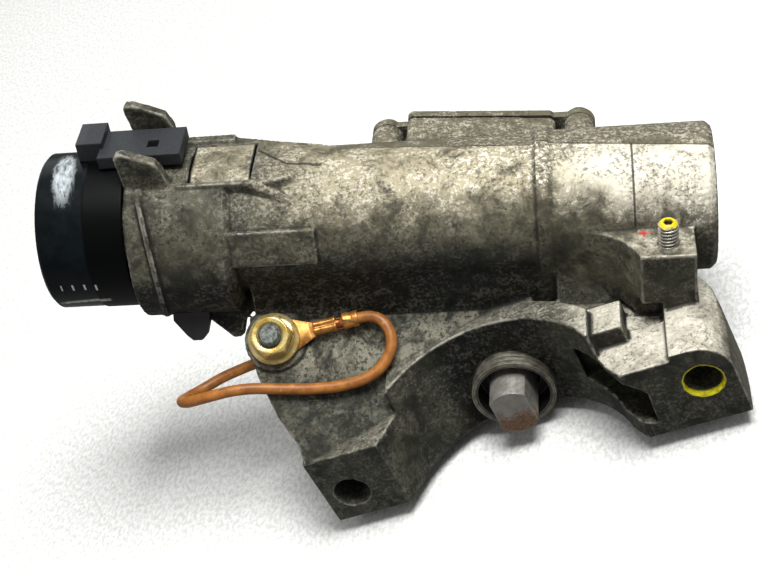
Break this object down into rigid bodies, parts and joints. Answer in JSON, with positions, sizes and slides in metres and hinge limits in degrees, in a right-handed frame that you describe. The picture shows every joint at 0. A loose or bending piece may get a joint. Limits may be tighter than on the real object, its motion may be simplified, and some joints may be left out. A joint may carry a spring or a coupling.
{
  "type": "column ignition lock and switch",
  "caption": "Die-cast steering-column ignition lock housing with reader ring, turning key core, sliding lock bolt, saddle lugs and an earth lead.",
  "frame": {"origin": "on the lugs' mating plane, straight below the lock bolt's axis, at the height of the flat base", "axes": "+X along the lugs from the left one to the right one, -Y out of the mating plane towards the steering column, +Z along the column, up from the base"},
  "size_m": [0.1784, 0.0741, 0.1141],
  "materials": {
    "casting": "oxidised cast",
    "black_plastic": "satin",
    "copper": "dull",
    "zinc": "satin",
    "steel": "satin",
    "brass": "satin",
    "bolt_steel": "worn, rusty end",
    "dark_steel": "blackened",
    "pale_plastic": "satin",
    "yellow_zinc": "yellow zinc plate",
    "wire_cover": "satin"
  },
  "bodies": {
    "frame": {"housing": "casting", "catch_insert": "casting", "reader_ring": "black_plastic", "reader_coil": "copper", "lock_barrel": "zinc", "bolt_spring": "steel", "guide_sleeve": "dark_steel", "back_cover": "casting", "cover_screws": "steel", "switch_body": "black_plastic", "terminals": "brass", "detent_ball": "steel", "detent_spring": "steel", "grub_screw": "steel", "earth_stud": "dark_steel", "earth_nut": "yellow_zinc", "ring_terminal": "copper", "earth_wire": "wire_cover", "wire_socket": "black_plastic", "side_plug": "black_plastic"},
    "key_rotor": {"lock_core": "zinc", "wafers": "brass", "core_clip": "steel", "cam_shaft": "steel", "switch_rotor": "pale_plastic", "contact_bridge": "copper", "contact_spring": "steel"},
    "bolt": {"bolt_carrier": "zinc", "lock_bolt": "bolt_steel"},
    "shutter": {"key_shutter": "steel"}
  },
  "joints": [
    {"name": "key_turn", "type": "hinge", "parent": "frame", "child": "key_rotor", "pos_m": [0.01323, 0.0475, 0.05399], "axis": [0.9505, 0, -0.3107], "range_deg": [0, 90]},
    {"name": "bolt_slide", "type": "slide", "parent": "frame", "child": "bolt", "axis": [0, 1, 0], "range_m": [0, 0.007], "deforming": ["bolt_spring"]},
    {"name": "shutter_swing", "type": "hinge", "parent": "key_rotor", "child": "shutter", "pos_m": [-0.09465, 0.0457, 0.08925], "axis": [-0.3107, 0, -0.9505], "range_deg": [0, 80], "stiffness_Nm_per_rad": 0.0004}
  ],
  "couplings": [
    {"joint": "key_turn", "follows": "bolt_slide", "rad_per_m": 224.4}
  ]
}
